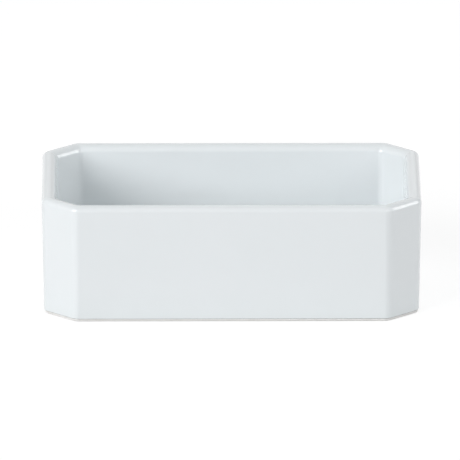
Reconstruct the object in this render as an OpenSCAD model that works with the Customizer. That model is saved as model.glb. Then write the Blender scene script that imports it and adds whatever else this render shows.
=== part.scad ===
// Sugar packet holder: a glazed porcelain trough with cut corners.
// +X runs along its length, +Y towards its back and +Z up. The origin is on the table, under its middle.
// Every piece is one loft: a stack of octagon outlines with rounded corners, each drawn at its own
// height and its own distance in from the rim.

/* [Overall size] */
// Length over the rim
body_l = 121; // [90:1:180]
// Width over the rim
body_w = 74; // [50:1:120]
// Height of the rim above the table
body_h = 38.3; // [24:1:70]

/* [Outer walls] */
// Leg of each 45 degree corner cut, along the rim
corner_cut = 10.2; // [5:0.2:16]
// Plan radius of the eight upright edges, at the rim
corner_r = 4; // [2.5:0.5:7]
// Lean of the outer walls, in degrees, so that the foot is smaller than the rim
wall_draft = 1.15; // [0.25:0.05:4]

/* [Rim] */
// Thickness of the wall at the rim
wall_t = 4.6; // [3.2:0.1:7]
// Radius of the rim's outer edge
rim_outer_r = 1.9; // [0.8:0.1:2.5]
// Radius of the rim's inner edge
rim_inner_r = 2.4; // [0.8:0.1:4]

/* [Well] */
// Leg of each 45 degree cut across the corners of the well
well_cut = 7.7; // [5:0.2:12]
// Plan radius of the well's upright corners
well_corner_r = 2.5; // [1:0.5:5]
// Lean of the well's walls, in degrees, so that its floor is smaller than its mouth
well_draft = 0.5; // [0.2:0.1:4]
// Height of the well's floor above the table
floor_t = 4.5; // [3.4:0.2:9]
// Radius between the well's floor and its walls
well_fillet = 3; // [1.5:0.5:6]

/* [Foot] */
// Radius of the foot's outer edge
foot_edge_r = 0.6; // [0.4:0.1:1.2]
// Width of the flat strip that the holder stands on
foot_w = 3; // [1.5:0.25:6]
// Depth of the recess inside the foot ring
foot_recess = 1.2; // [0.9:0.1:2]
// Radius of the foot's inner edge
foot_inner_r = 0.4; // [0.3:0.05:0.5]
// Plan radius of the foot ring's inner corners
foot_corner_r = 3; // [1:0.5:6]

/* [Glaze] */
// Thickness of the glaze
glaze_t = 0.25; // [0.15:0.05:0.35]
// Height of the bare band between the foot's rounded edge and the outer glaze
bare_band = 0.3; // [0.1:0.1:1.5]

/* [Hidden] */

corner_steps = 5; // facets in each rounded corner of the plan
arc_steps = 5; // facets in each round of the section
facing_step = 360 / 8; // turn from one side of the octagon to the next
cut_loss_share = 2 - sqrt(2); // how much a 45 degree cut's leg shrinks as its outline is drawn in
rim_share = 0.94; // most of the wall that the two rim radii may take, which leaves a flat crown
corner_least_share = 0.1; // least of its rim radius that an upright edge keeps at the foot

// The rim's two radii, held to what the wall has room for
rim_fit = min(1, wall_t * rim_share / (rim_outer_r + rim_inner_r));
outer_r = rim_outer_r * rim_fit;
inner_r = rim_inner_r * rim_fit;

// The section is drawn as [distance in from the rim's outline, height]
outer_hub = [outer_r, body_h - outer_r];
inner_hub = [wall_t - inner_r, body_h - inner_r];

// Point at an angle on a round of the section: 0 faces the middle of the holder, 90 faces up
function on_arc(hub, r, angle) = hub + r * [cos(angle), sin(angle)];

function arc(hub, r, from, to) =
    [for (i = [0:arc_steps]) on_arc(hub, r, from + (to - from) * i / arc_steps)];

// Where a wall that leaves a point at a given lean stands at another height
function lean_at(from, lean, z) = from[0] + (from[1] - z) * tan(lean);

// The outer wall leaves the rim's outer round here. A skin of 0 is the glaze, and more is under it
function outer_top(skin) = on_arc(outer_hub, outer_r - skin, 180 + wall_draft);

function outer_at(skin, z) = [lean_at(outer_top(skin), wall_draft, z), z];

// The well's wall leaves the rim's inner round here
function inner_top(skin) = on_arc(inner_hub, inner_r - skin, well_draft);

fillet_top_z = floor_t + well_fillet * (1 - sin(well_draft));
fillet_hub = [
    lean_at(inner_top(0), well_draft, fillet_top_z) + well_fillet * cos(well_draft),
    floor_t + well_fillet
];

// The foot's rounds, from its outer edge to the top of the recess
foot_edge_z = foot_edge_r * (1 - sin(wall_draft));
foot_edge_hub = [
    lean_at(outer_top(glaze_t), wall_draft, foot_edge_z) + foot_edge_r * cos(wall_draft),
    foot_edge_r
];
foot_inner_hub = [foot_edge_hub[0] + foot_w, foot_inner_r];
cove_r = foot_recess - foot_inner_r;
cove_hub = foot_inner_hub + [foot_inner_r + cove_r, 0];

// Each row of a loft is [distance in, height, leg of the corner cut at the rim, plan radius].
// The outer walls keep one set of corner centres, so their corner radius shrinks as they lean in.
function outside(p) = [p[0], p[1], corner_cut, max(corner_r - p[0], corner_r * corner_least_share)];

well_rim_cut = well_cut + wall_t * cut_loss_share;

function inside(p) = [p[0], p[1], well_rim_cut, well_corner_r];

// Over the crown and the inner round the plan turns from the outer form to the well's
function crown(p, share) = outside(p) * (1 - share) + inside(p) * share;

function under(p) = [p[0], p[1], corner_cut, foot_corner_r];

// The glazed surface, or what lies a skin's depth under it, from its lower edge to the well's floor.
// That edge thins out over a height equal to the glaze's thickness.
function glazed_rows(skin) = concat(
    [outside(outer_at(skin, foot_edge_z + bare_band + glaze_t - skin))],
    [for (p = arc(outer_hub, outer_r - skin, 180 + wall_draft, 90)) outside(p)],
    [
        for (i = [0:arc_steps])
            let (share = i / arc_steps)
                crown(
                    on_arc(inner_hub, inner_r - skin, 90 + (well_draft - 90) * share),
                    share
                )
    ],
    [for (p = arc(fillet_hub, well_fillet + skin, 180 + well_draft, 270)) inside(p)]
);

function rest(list) = [for (i = [1:len(list) - 1]) list[i]];

// The bare foot from the end of the cove: its inner edge, the strip it stands on, and its outer edge
foot_rows = concat(
    [for (p = rest(arc(foot_inner_hub, foot_inner_r, 360, 270))) under(p)],
    [for (p = arc(foot_edge_hub, foot_edge_r, 270, 180 + wall_draft)) outside(p)]
);

// The cove and ceiling of the recess, or what lies a skin's depth under the clay
function recess_rows(skin) =
    [for (p = arc(cove_hub, cove_r - skin, 90, 180)) under(p)];

function turned(list) = [for (i = [len(list) - 1:-1:0]) list[i]];

// Corners of an octagon with 45 degree cuts, in the order of its sides' facing
function octagon(x, y, cut) = [
    [x, y - cut], [x - cut, y], [cut - x, y], [-x, y - cut],
    [-x, cut - y], [cut - x, -y], [x - cut, -y], [x, cut - y]
];

// One rounded outline of a loft
function outline(row) =
    let (
        inset = row[0] + row[3],
        hubs = octagon(body_l / 2 - inset, body_w / 2 - inset, row[2] - inset * cut_loss_share)
    )
    [
        for (k = [0:len(hubs) - 1], j = [0:corner_steps])
            let (angle = facing_step * (k + j / corner_steps))
                [
                    hubs[k][0] + row[3] * cos(angle),
                    hubs[k][1] + row[3] * sin(angle),
                    row[1]
                ]
    ];

// Two triangles over the four points a, b, c and d, split along the shorter diagonal
function split(points, a, b, c, d) =
    norm(points[a] - points[c]) <= norm(points[b] - points[d])
        ? [[a, b, c], [a, c, d]]
        : [[a, b, d], [b, c, d]];

// A closed solid through its rows, from the outline that closes it below to the one above
module loft(rows) {
    points = [for (row = rows) each outline(row)];
    count = len(outline(rows[0]));
    last = len(rows) - 1;
    walls = [
        for (i = [0:last - 1], j = [0:count - 1])
            let (next = (j + 1) % count)
                each split(
                    points,
                    i * count + j,
                    (i + 1) * count + j,
                    (i + 1) * count + next,
                    i * count + next
                )
    ];
    lower = [for (j = [0:count - 1]) j];
    upper = [for (j = [count - 1:-1:0]) last * count + j];
    polyhedron(points = points, faces = concat([lower], walls, [upper]));
}

// The fired clay: recess, bare foot, walls, rim and well
module porcelain_body() {
    color("ivory") loft(concat(recess_rows(0), foot_rows, glazed_rows(glaze_t)));
}

// The glass skin outside, over the rim and in the well
module glaze_coat() {
    color("azure") loft(concat(turned(glazed_rows(glaze_t)), glazed_rows(0)));
}

// The patch of glass skin inside the foot ring
module base_glaze() {
    color("azure") loft(concat(recess_rows(glaze_t), turned(recess_rows(0))));
}

porcelain_body();
glaze_coat();
base_glaze();
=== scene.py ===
# Sugar packet holder in glazed white porcelain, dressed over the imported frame.
# Sizes are in metres and angles in degrees. +X runs along the holder, +Y to its back and +Z up.
import math

import bmesh
import bpy
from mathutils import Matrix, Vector, noise


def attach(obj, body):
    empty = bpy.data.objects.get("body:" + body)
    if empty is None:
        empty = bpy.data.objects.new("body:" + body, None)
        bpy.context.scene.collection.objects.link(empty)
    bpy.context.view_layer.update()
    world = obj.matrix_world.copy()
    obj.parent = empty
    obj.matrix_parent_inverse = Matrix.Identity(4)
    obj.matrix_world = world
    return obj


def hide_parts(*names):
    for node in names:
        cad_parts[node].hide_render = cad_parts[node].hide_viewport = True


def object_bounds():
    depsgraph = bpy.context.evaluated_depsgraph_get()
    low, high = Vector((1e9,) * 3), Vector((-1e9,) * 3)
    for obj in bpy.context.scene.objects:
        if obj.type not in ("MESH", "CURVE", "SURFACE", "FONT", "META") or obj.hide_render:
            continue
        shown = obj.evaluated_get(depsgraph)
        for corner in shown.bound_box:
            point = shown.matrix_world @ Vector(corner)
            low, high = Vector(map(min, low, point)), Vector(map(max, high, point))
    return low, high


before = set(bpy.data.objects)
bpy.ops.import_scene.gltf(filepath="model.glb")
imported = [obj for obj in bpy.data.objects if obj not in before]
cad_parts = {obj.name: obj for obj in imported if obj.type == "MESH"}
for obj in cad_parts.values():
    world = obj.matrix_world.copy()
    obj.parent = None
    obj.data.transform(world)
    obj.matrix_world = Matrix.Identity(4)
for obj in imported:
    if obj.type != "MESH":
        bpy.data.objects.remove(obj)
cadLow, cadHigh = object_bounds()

holderMiddle = (cadLow + cadHigh) / 2


def aimed(azimuth, elevation):  # unit vector away from the holder: azimuth 0 is its front and 90 is +X
    turn, rise = math.radians(azimuth), math.radians(elevation)
    return Vector((math.sin(turn) * math.cos(rise), -math.cos(turn) * math.cos(rise), math.sin(rise)))


def standFacing(item, aim, settings):  # puts a camera or a lamp in its place, looking at its aim
    away = aimed(settings["azimuth"], settings["elevation"])
    item.location = aim + away * settings["distance"]
    item.rotation_mode = "QUATERNION"
    item.rotation_quaternion = (-away).to_track_quat("-Z", "Y")
    bpy.context.scene.collection.objects.link(item)


cameraSettings = {
    "azimuth": -0.33,
    "elevation": 16.7,
    "distance": 5.38,
    "focalLength": 1315.6,  # millimetres, on the sensor below
    "sensorWidth": 36,
    "aimAside": -0.00038,  # the photograph's centre, from the holder's own middle
    "aimAbove": 0.00051,
    "farClip": 20,
}


def setCamera(settings):
    camera = bpy.data.objects.new("photoCamera", bpy.data.cameras.new("photoCamera"))
    camera.data.sensor_width = settings["sensorWidth"]
    camera.data.lens = settings["focalLength"]
    camera.data.clip_end = settings["farClip"]
    standFacing(camera, holderMiddle + Vector((settings["aimAside"], 0, settings["aimAbove"])), settings)
    bpy.context.scene.camera = camera
    bpy.context.scene.view_settings.view_transform = "Standard"
    print("camera set at", [round(c, 3) for c in camera.location])


setCamera(cameraSettings)


def addNode(tree, kind, inputs=None, **options):  # one node, with its values set and its links made
    node = tree.nodes.new(kind)
    for option, value in options.items():
        setattr(node, option, value)
    for socket, value in (inputs or {}).items():
        if isinstance(value, bpy.types.NodeSocket):
            tree.links.new(value, node.inputs[socket])
        else:
            node.inputs[socket].default_value = value
    return node


def addMath(tree, operation, *values):
    return addNode(tree, "ShaderNodeMath", dict(enumerate(values)), operation=operation).outputs[0]


def addRange(tree, value, low, high, toLow, toHigh):
    inputs = {"Value": value, "From Min": low, "From Max": high, "To Min": toLow, "To Max": toHigh}
    return addNode(tree, "ShaderNodeMapRange", inputs).outputs[0]


def addColourMix(tree, share, colourA, colourB):  # sockets 0, 6 and 7 are the colour mix's own
    inputs = {0: share, 6: colourA, 7: colourB}
    return addNode(tree, "ShaderNodeMix", inputs, data_type="RGBA").outputs[2]


def addNoise(tree, place, lumps):
    inputs = {
        "Vector": place,
        "Scale": 1 / lumps["size"],
        "Detail": lumps["detail"],
        "Roughness": lumps["roughness"],
    }
    return addNode(tree, "ShaderNodeTexNoise", inputs).outputs["Fac"]


def addSpots(tree, place, spots):  # each place's distance from its cell's spot, and 1 if it has one
    cells = addNode(tree, "ShaderNodeTexVoronoi", {"Vector": place, "Scale": 1 / spots["spacing"]}).outputs
    chosen = addNode(tree, "ShaderNodeSeparateColor", {0: cells["Color"]}).outputs[0]
    return cells["Distance"], addMath(tree, "LESS_THAN", chosen, spots["share"])


def addBump(tree, height, depth, under=None, invert=False):  # laid over the bump under it, if there is one
    inputs = {"Height": height, "Distance": depth}
    if under is not None:
        inputs["Normal"] = under
    return addNode(tree, "ShaderNodeBump", inputs, invert=invert).outputs[0]


def emptyTree(owner):
    owner.use_nodes = True
    owner.node_tree.nodes.clear()
    return owner.node_tree


def seenDirectly(tree):  # 1 for the rays that show the background, straight or in a reflection
    rays = addNode(tree, "ShaderNodeLightPath").outputs
    straight = addMath(tree, "MAXIMUM", rays["Is Camera Ray"], rays["Is Glossy Ray"])
    return addMath(tree, "MAXIMUM", straight, rays["Is Transmission Ray"])


def addBackdropMix(tree, lighting, shown):  # one shader lights the holder and the other is what is seen
    inputs = {0: seenDirectly(tree), 1: lighting.outputs[0], 2: shown.outputs[0]}
    return addNode(tree, "ShaderNodeMixShader", inputs).outputs[0]


studioSettings = {
    "floorSpan": 2.4,
    "floorSquares": 12,
    "floorColour": (0.68, 0.68, 0.68, 1),
    "shadowColour": (0.30, 0.30, 0.30, 1),  # how much of the floor's own light the camera sees
    "floorGlow": 0.80,  # the rest of the floor's white
    "white": (1, 1, 1, 1),
    "ambientColour": (0.97, 0.99, 1.0, 1),
    "ambientStrength": 0.20,
}

lampSettings = {
    "keyLamp": {
        "azimuth": -50, "elevation": 23, "distance": 2.5, "width": 1.8, "height": 1.2, "power": 47.3},
    "fillLamp": {
        "azimuth": 36, "elevation": 20, "distance": 2.4, "width": 1.2, "height": 1.0, "power": 12.2},
    "sideLamp": {
        "azimuth": 92.5, "elevation": 15, "distance": 1.4, "width": 0.36, "height": 0.95, "power": 6.1},
    "backLamp": {
        "azimuth": 180, "elevation": 42, "distance": 2.0, "width": 2.8, "height": 2.0, "power": 7},
    "farLamp": {
        "azimuth": 180, "elevation": 9, "distance": 2.4, "width": 2.4, "height": 0.6, "power": 11},
}
unmirroredLamps = ["farLamp"]  # they brighten the far side and leave no highlight


def layFloor(settings):
    mesh = bmesh.new()
    squares = settings["floorSquares"]
    bmesh.ops.create_grid(mesh, x_segments=squares, y_segments=squares, size=settings["floorSpan"] / 2)
    data = bpy.data.meshes.new("studioFloor")
    mesh.to_mesh(data)
    mesh.free()
    floor = bpy.data.objects.new("studioFloor", data)
    bpy.context.scene.collection.objects.link(floor)
    material = bpy.data.materials.new("floorPaint")
    tree = emptyTree(material)
    paint = addNode(tree, "ShaderNodeBsdfDiffuse", {"Color": settings["floorColour"]})
    shaded = addNode(tree, "ShaderNodeBsdfDiffuse", {"Color": settings["shadowColour"]})
    glowing = {"Color": settings["white"], "Strength": settings["floorGlow"]}
    glow = addNode(tree, "ShaderNodeEmission", glowing)
    shown = addNode(tree, "ShaderNodeAddShader", {0: shaded.outputs[0], 1: glow.outputs[0]})
    addNode(tree, "ShaderNodeOutputMaterial", {"Surface": addBackdropMix(tree, paint, shown)})
    data.materials.append(material)


def setWorld(settings):
    world = bpy.data.worlds.new("studioAir")
    tree = emptyTree(world)
    ambient = {"Color": settings["ambientColour"], "Strength": settings["ambientStrength"]}
    dim = addNode(tree, "ShaderNodeBackground", ambient)
    white = addNode(tree, "ShaderNodeBackground", {"Color": settings["white"], "Strength": 1.0})
    addNode(tree, "ShaderNodeOutputWorld", {"Surface": addBackdropMix(tree, dim, white)})
    bpy.context.scene.world = world


def hangLamp(name, settings):
    lamp = bpy.data.objects.new(name, bpy.data.lights.new(name, "AREA"))
    lamp.data.shape = "RECTANGLE"
    lamp.data.size, lamp.data.size_y = settings["width"], settings["height"]
    lamp.data.energy = settings["power"]
    lamp.visible_glossy = name not in unmirroredLamps
    standFacing(lamp, holderMiddle, settings)


layFloor(studioSettings)
setWorld(studioSettings)
for lampName, lampValues in lampSettings.items():
    hangLamp(lampName, lampValues)
print("studio lit by", len(lampSettings), "lamps")

poolAndShadeLayerName = "glazePoolAndShade"  # 0 to 1 at each point of a mesh: how thick the glass looks there, with painted shade added in the well's hollows and on the rim's crown
noiseMiddle = 0.5  # a noise's values lie round this
noiseSpread = (0.3, 0.7)  # and most of them between these

glazeFinish = {
    "thin": (0.840, 0.866, 0.887, 1),  # on the walls, where the glass runs thin
    "pooledAndShaded": (0.740, 0.812, 0.812, 1),  # in hollows, where it gathers, and darker and greener still as painted shade that deepens the well's shadow
    "drift": {"size": 0.03, "detail": 3, "roughness": 0.5},  # slow changes of tone across a wall
    "driftShare": 0.2,
    "breath": {"size": 0.018, "detail": 4, "roughness": 0.6},  # patches of slightly duller gloss
    "roughnessLeast": 0.07,
    "roughnessMost": 0.16,
    "swell": {"size": 0.012, "detail": 1, "roughness": 0.5},
    "swellDepth": 0.000012,
    "peel": {"size": 0.0022, "detail": 1, "roughness": 0.5},  # the fine unevenness of a fired surface
    "peelDepth": 0.0000015,
    "pits": {"spacing": 0.011, "radius": 0.00011, "share": 0.16},  # of cells with a pinhole
    "pitDepth": 0.00003,
    "pitColour": (0.62, 0.62, 0.60, 1),
    "refraction": 1.5,
}


def makeGlaze(name, finish):
    material = bpy.data.materials.new(name)
    tree = emptyTree(material)
    place = addNode(tree, "ShaderNodeTexCoord").outputs["Object"]
    depth = addNode(tree, "ShaderNodeAttribute", attribute_name=poolAndShadeLayerName).outputs["Fac"]
    drift = addMath(tree, "SUBTRACT", addNoise(tree, place, finish["drift"]), noiseMiddle)
    driftPart = addMath(tree, "MULTIPLY", drift, finish["driftShare"])
    # pooled glass, plus painted shade where the depth is raised in the well and on the rim's crown
    poolingAndShade = addNode(tree, "ShaderNodeClamp", {"Value": addMath(tree, "ADD", depth, driftPart)}).outputs[0]
    glass = addColourMix(tree, poolingAndShade, finish["thin"], finish["pooledAndShaded"])
    distance, present = addSpots(tree, place, finish["pits"])
    reach = finish["pits"]["radius"] / finish["pits"]["spacing"]
    pit = addMath(tree, "MULTIPLY", present, addRange(tree, distance, 0, reach, 1, 0))
    colour = addColourMix(tree, pit, glass, finish["pitColour"])
    breath = addNoise(tree, place, finish["breath"])
    roughness = addRange(tree, breath, *noiseSpread, finish["roughnessLeast"], finish["roughnessMost"])
    swell = addBump(tree, addNoise(tree, place, finish["swell"]), finish["swellDepth"])
    peel = addBump(tree, addNoise(tree, place, finish["peel"]), finish["peelDepth"], swell)
    dented = addBump(tree, pit, finish["pitDepth"], peel, invert=True)
    shader = addNode(tree, "ShaderNodeBsdfPrincipled", {
        "Base Color": colour,
        "Roughness": roughness,
        "IOR": finish["refraction"],
        "Normal": dented,
    })
    addNode(tree, "ShaderNodeOutputMaterial", {"Surface": shader.outputs[0]})
    return material


biscuitFinish = {
    "pale": (0.85, 0.845, 0.83, 1),
    "dusky": (0.78, 0.77, 0.75, 1),
    "shadeSpread": (0.35, 0.65),  # of the noises, from the pale clay to the dusky
    "cloud": {"size": 0.008, "detail": 5, "roughness": 0.6},
    "grain": {"size": 0.00035, "detail": 3, "roughness": 0.7},
    "grainDepth": 0.00004,
    "grainShare": 0.25,
    "specks": {"spacing": 0.0035, "radius": 0.00012, "share": 0.2},  # of cells with a speck
    "speckColour": (0.45, 0.38, 0.30, 1),
    "roughnessLeast": 0.62,
    "roughnessMost": 0.82,
}


def makeBiscuit(name, finish):
    material = bpy.data.materials.new(name)
    tree = emptyTree(material)
    place = addNode(tree, "ShaderNodeTexCoord").outputs["Object"]
    cloud = addNoise(tree, place, finish["cloud"])
    grain = addNoise(tree, place, finish["grain"])
    grainPart = addMath(tree, "MULTIPLY", grain, finish["grainShare"])
    cloudPart = addMath(tree, "MULTIPLY", cloud, 1 - finish["grainShare"])
    shade = addRange(tree, addMath(tree, "ADD", grainPart, cloudPart), *finish["shadeSpread"], 0, 1)
    clay = addColourMix(tree, shade, finish["pale"], finish["dusky"])
    distance, present = addSpots(tree, place, finish["specks"])
    reach = finish["specks"]["radius"] / finish["specks"]["spacing"]
    speck = addMath(tree, "MULTIPLY", present, addMath(tree, "LESS_THAN", distance, reach))
    colour = addColourMix(tree, speck, clay, finish["speckColour"])
    roughness = addRange(tree, grain, *noiseSpread, finish["roughnessLeast"], finish["roughnessMost"])
    shader = addNode(tree, "ShaderNodeBsdfPrincipled", {
        "Base Color": colour,
        "Roughness": roughness,
        "Normal": addBump(tree, grain, finish["grainDepth"]),
    })
    addNode(tree, "ShaderNodeOutputMaterial", {"Surface": shader.outputs[0]})
    return material


glazeMaterial = makeGlaze("clearWhiteGlaze", glazeFinish)
biscuitMaterial = makeBiscuit("firedBiscuit", biscuitFinish)
print("finishes mixed")

# The holder's section and plan, the same for all its pieces
form = {
    "length": cadHigh.x - cadLow.x,
    "width": cadHigh.y - cadLow.y,
    "height": cadHigh.z,
    "cornerCut": 0.0102,  # leg of each 45 degree corner, along the rim
    "cornerRadius": 0.004,
    "leastCornerShare": 0.1,  # of that radius, which the lean of the walls leaves at least
    "wallLean": 1.15,
    "wallThickness": 0.0046,
    "rimOuterRadius": 0.0019,
    "rimInnerRadius": 0.0024,
    "wellCut": 0.0077,
    "wellCornerRadius": 0.0025,
    "wellLean": 0.5,
    "floorThickness": 0.0045,
    "wellFillet": 0.003,
    "footEdgeRadius": 0.0006,
    "footWidth": 0.003,
    "footRecess": 0.0012,
    "footInnerRadius": 0.0004,
    "footCornerRadius": 0.003,
    "glazeThickness": 0.00025,
    "bareBand": 0.0003,
}
shellSteps = {
    "roundSteps": 9,
    "cornerSteps": 8,
    "outerWallRows": 9,
    "wellWallRows": 8,
    "floorRows": 6,
    "floorReach": 0.86,  # of the way from the edge of a floor to its middle
    "longCuts": 35,  # along the two long sides
    "shortCuts": 19,  # along the two ends
    "cornerCuts": 4,  # along each 45 degree cut
    "stackGap": 0.05,
}
# hollow and floor: pooled glass, made darker as painted shade in the well
# lip and crown: deeper than the walls as painted shade that darkens the rim's top
poolAndShadeShares = {"lip": 0.2, "crown": 0.25, "wall": 0.15, "hem": 0.3, "hollow": 1.0, "floor": 0.75}
hemPace = 3  # the hem's depth is gone a third of the way up the wall
poolTurn = 0.75  # of a half wave of depth, from the wall over the hollow to the floor
planSides = 8
cutLoss = 2 - math.sqrt(2)  # how much a 45 degree cut's leg shrinks as its outline is drawn in
roundReach = math.tan(math.pi / 8)  # from a 135 degree corner to where its round starts, in radii


def onRound(hub, radius, degrees):  # 0 faces the middle of the holder and 90 faces up
    angle = math.radians(degrees)
    return hub + radius * Vector((math.cos(angle), math.sin(angle)))


def alongRound(hub, radius, start, end):  # pairs of a share of the way along and the point there
    steps = shellSteps["roundSteps"]
    angles = [start + (end - start) * step / steps for step in range(steps + 1)]
    return [(step / steps, onRound(hub, radius, angle)) for step, angle in enumerate(angles)]


def onWall(top, lean, height):  # on a wall that leaves the rim at a lean
    return Vector((top.x + (top.y - height) * math.tan(math.radians(lean)), height))


def between(high, low, count):  # evenly spaced, without the two ends
    return [high + (low - high) * step / (count + 1) for step in range(1, count + 1)]


# A point of the section is a distance in from the rim's outline and a height. A skin is how deep under
# the glazed surface the section lies: 0 on it, and the glaze's thickness on the clay
outerHub = Vector((form["rimOuterRadius"], form["height"] - form["rimOuterRadius"]))
innerHub = Vector((form["wallThickness"] - form["rimInnerRadius"], form["height"] - form["rimInnerRadius"]))


def outerTop(skin):  # where the outer wall leaves the rim
    return onRound(outerHub, form["rimOuterRadius"] - skin, 180 + form["wallLean"])


def innerTop(skin):  # where the well's wall leaves the rim
    return onRound(innerHub, form["rimInnerRadius"] - skin, form["wellLean"])


filletTop = form["floorThickness"] + form["wellFillet"] * (1 - math.sin(math.radians(form["wellLean"])))
filletHub = Vector((
    onWall(innerTop(0), form["wellLean"], filletTop).x
    + form["wellFillet"] * math.cos(math.radians(form["wellLean"])),
    form["floorThickness"] + form["wellFillet"]))
footEdgeTop = form["footEdgeRadius"] * (1 - math.sin(math.radians(form["wallLean"])))
footEdgeHub = Vector((
    onWall(outerTop(form["glazeThickness"]), form["wallLean"], footEdgeTop).x
    + form["footEdgeRadius"] * math.cos(math.radians(form["wallLean"])),
    form["footEdgeRadius"]))
footInnerHub = Vector((footEdgeHub.x + form["footWidth"], form["footInnerRadius"]))
coveRadius = form["footRecess"] - form["footInnerRadius"]
coveHub = footInnerHub + Vector((form["footInnerRadius"] + coveRadius, 0))


# Each row of a shell is its distance in from the rim, its height, its corner leg at the rim, its plan
# radius and its glaze depth, which also carries painted shade
def outsideRow(point, depth):
    radius = max(form["cornerRadius"] - point.x, form["leastCornerShare"] * form["cornerRadius"])
    return (point.x, point.y, form["cornerCut"], radius, depth)


def insideRow(point, depth):
    rimLeg = form["wellCut"] + form["wallThickness"] * cutLoss
    return (point.x, point.y, rimLeg, form["wellCornerRadius"], depth)


def underRow(point, depth):
    return (point.x, point.y, form["cornerCut"], form["footCornerRadius"], depth)


def blendedRow(rowA, rowB, share):
    return tuple(a + (b - a) * share for a, b in zip(rowA, rowB))


def poolAndShadeBetween(start, end, share):
    return poolAndShadeShares[start] + (poolAndShadeShares[end] - poolAndShadeShares[start]) * share


def flatRows(edgeRow, height):  # from the edge of a floor or ceiling to near its middle
    inset, _, rimLeg, radius, _ = edgeRow
    rows = []
    for index in range(1, shellSteps["floorRows"] + 1):
        share = shellSteps["floorReach"] * index / shellSteps["floorRows"]
        nearer = inset + (form["width"] / 2 - inset) * share
        leg = (rimLeg - inset * cutLoss) * (1 - share)
        rows.append((nearer, height, leg + nearer * cutLoss, radius * (1 - share), poolAndShadeShares["floor"]))
    return rows


def outerWallRows(skin):  # from the hem above the foot
    top = outerTop(skin)
    hemHeight = footEdgeTop + form["bareBand"] + form["glazeThickness"] - skin
    count = shellSteps["outerWallRows"]
    rows = []
    for index, height in enumerate([hemHeight] + between(hemHeight, top.y, count)):
        depth = poolAndShadeBetween("hem", "wall", min(1, hemPace * (index / count)))
        rows.append(outsideRow(onWall(top, form["wallLean"], height), depth))
    return rows


def rimRows(skin):  # over the rim, whose inner round turns the outside's plan into the well's
    rows = []
    outerRadius = form["rimOuterRadius"] - skin
    for share, point in alongRound(outerHub, outerRadius, 180 + form["wallLean"], 90):
        # painted shade grows towards the lip, darkening the rim's top
        rows.append(outsideRow(point, poolAndShadeBetween("wall", "lip", share)))
    for share, point in alongRound(innerHub, form["rimInnerRadius"] - skin, 90, form["wellLean"]):
        # painted shade on the crown, fading into the well's wall
        depth = poolAndShadeBetween("crown", "wall", share)
        rows.append(blendedRow(outsideRow(point, depth), insideRow(point, depth), share))
    return rows


def wellRows(skin):  # down the walls and over the floor to near its middle
    top = innerTop(skin)
    rows = []
    for height in between(top.y, filletTop, shellSteps["wellWallRows"]):
        rows.append(insideRow(onWall(top, form["wellLean"], height), poolAndShadeShares["wall"]))
    for share, point in alongRound(filletHub, form["wellFillet"] + skin, 180 + form["wellLean"], 270):
        # the hollow's pooled glass, deepened as painted shade in the well
        pool = math.sin(math.pi * (share * poolTurn))
        rows.append(insideRow(point, poolAndShadeBetween("wall", "hollow", pool)))
    return rows + flatRows(rows[-1], form["floorThickness"] - skin)


def glazedRows(skin):
    return outerWallRows(skin) + rimRows(skin) + wellRows(skin)


def footRows():  # the bare foot, from the recess outwards
    inner = alongRound(footInnerHub, form["footInnerRadius"], 360, 270)[1:]
    outer = alongRound(footEdgeHub, form["footEdgeRadius"], 270, 180 + form["wallLean"])
    return [underRow(point, 0) for _, point in inner] + [outsideRow(point, 0) for _, point in outer]


def recessRows(skin):  # the ceiling of the recess and the cove round it
    cove = alongRound(coveHub, coveRadius - skin, 90, 180)
    rows = [underRow(point, poolAndShadeBetween("hollow", "lip", share)) for share, point in cove]
    return flatRows(rows[0], form["footRecess"] - skin)[::-1] + rows


def cutCorners(outline, offset, steps):  # with a profile of 0.5, several steps make a round
    bmesh.ops.bevel(
        outline, geom=outline.verts[:], offset=offset, offset_type="OFFSET", segments=steps,
        profile=0.5, affect="VERTICES", material=-1)


def sideKind(edge):  # by the way that it runs
    along = edge.verts[0].co - edge.verts[1].co
    if abs(along.y) < abs(along.x) / 2:
        return "longCuts"
    if abs(along.x) < abs(along.y) / 2:
        return "shortCuts"
    return "cornerCuts"


def drawOutline(row):  # a unit square scaled to size, its corners cut and the cuts rounded
    inset, _, rimLeg, radius, depth = row
    outline = bmesh.new()
    poolAndShadeLayer = outline.verts.layers.float.new(poolAndShadeLayerName)
    bmesh.ops.create_grid(outline, x_segments=1, y_segments=1, size=1 / 2)
    span = (form["length"] - 2 * inset, form["width"] - 2 * inset, 1)
    bmesh.ops.scale(outline, vec=span, verts=outline.verts[:])
    cutCorners(outline, rimLeg - inset * cutLoss, 1)
    cutCorners(outline, radius * roundReach, shellSteps["cornerSteps"])
    bmesh.ops.delete(outline, geom=outline.faces[:], context="FACES_ONLY")
    sides = {"longCuts": [], "shortCuts": [], "cornerCuts": []}
    for edge in sorted(outline.edges, key=lambda edge: edge.calc_length())[-planSides:]:
        sides[sideKind(edge)].append(edge)
    for kind, edges in sides.items():
        bmesh.ops.subdivide_edges(outline, edges=edges, cuts=shellSteps[kind])
    for vert in outline.verts:
        vert[poolAndShadeLayer] = depth
    return outline


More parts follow.
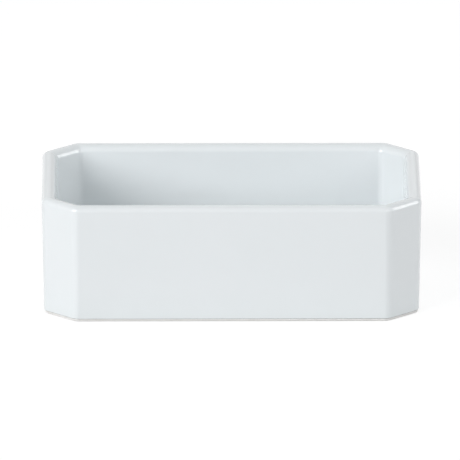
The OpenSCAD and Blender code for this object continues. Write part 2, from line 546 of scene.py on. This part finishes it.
def stackOutlines(mesh, rows):  # bridged far apart, so that each meets its own neighbour, then lowered
    carrier = bpy.data.meshes.new("outlineCarrier")
    rings = []
    for level, row in enumerate(rows):
        outline = drawOutline(row)
        outline.to_mesh(carrier)
        outline.free()
        drawn = len(mesh.verts)
        mesh.from_mesh(carrier)
        rings.append(mesh.verts[drawn:])
        bmesh.ops.translate(mesh, vec=(0, 0, level * shellSteps["stackGap"]), verts=rings[-1])
    bpy.data.meshes.remove(carrier)
    edges = [list(dict.fromkeys(edge for vert in ring for edge in vert.link_edges)) for ring in rings]
    for lower, upper in zip(edges, edges[1:]):
        bmesh.ops.bridge_loops(mesh, edges=lower + upper)
    for end in (edges[0], edges[-1]):
        bmesh.ops.edgeloop_fill(mesh, edges=end)
    for level, (ring, row) in enumerate(zip(rings, rows)):
        bmesh.ops.translate(mesh, vec=(0, 0, row[1] - level * shellSteps["stackGap"]), verts=ring)


unevenness = {"most": 0.00006, "waveSize": 0.05, "seed": 1}  # how far the fired walls stray


def letStray(mesh):  # always inwards, and the foot stays flat on the table
    noise.seed_set(unevenness["seed"])
    reach = Vector((form["length"] / 2, form["width"] / 2, form["height"]))
    for vert in mesh.verts:
        drift = noise.noise_vector(vert.co / unevenness["waveSize"])
        for axis in range(3):
            held = max(-1, min(1, drift[axis]))
            inwards = unevenness["most"] * (1 + held) / 2
            vert.co[axis] -= inwards * vert.co[axis] / reach[axis]


def makeShell(name, rows, material, nodeName):  # bridges its rows into one closed skin
    mesh = bmesh.new()
    stackOutlines(mesh, rows)
    letStray(mesh)
    bmesh.ops.recalc_face_normals(mesh, faces=mesh.faces)
    for face in mesh.faces:
        face.smooth = True
    data = bpy.data.meshes.new(name)
    mesh.to_mesh(data)
    mesh.free()
    data.materials.append(material)
    piece = bpy.data.objects.new(name, data)
    bpy.context.scene.collection.objects.link(piece)
    weighted = piece.modifiers.new("evenShading", "WEIGHTED_NORMAL")
    weighted.keep_sharp = True
    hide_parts(nodeName)
    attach(piece, "root")
    print(name, "made with", len(data.polygons), "faces")


def makeGlazeSkin():
    rows = glazedRows(form["glazeThickness"])[::-1] + glazedRows(0)
    makeShell("glazeSkin", rows, glazeMaterial, "glaze_coat")


def makeBiscuitBody():
    rows = recessRows(0) + footRows() + glazedRows(form["glazeThickness"])
    makeShell("biscuitBody", rows, biscuitMaterial, "porcelain_body")


def makeBaseGlaze():
    rows = recessRows(form["glazeThickness"]) + recessRows(0)[::-1]
    makeShell("baseGlaze", rows, glazeMaterial, "base_glaze")


makeGlazeSkin()
makeBiscuitBody()
makeBaseGlaze()

print("holder dressed")
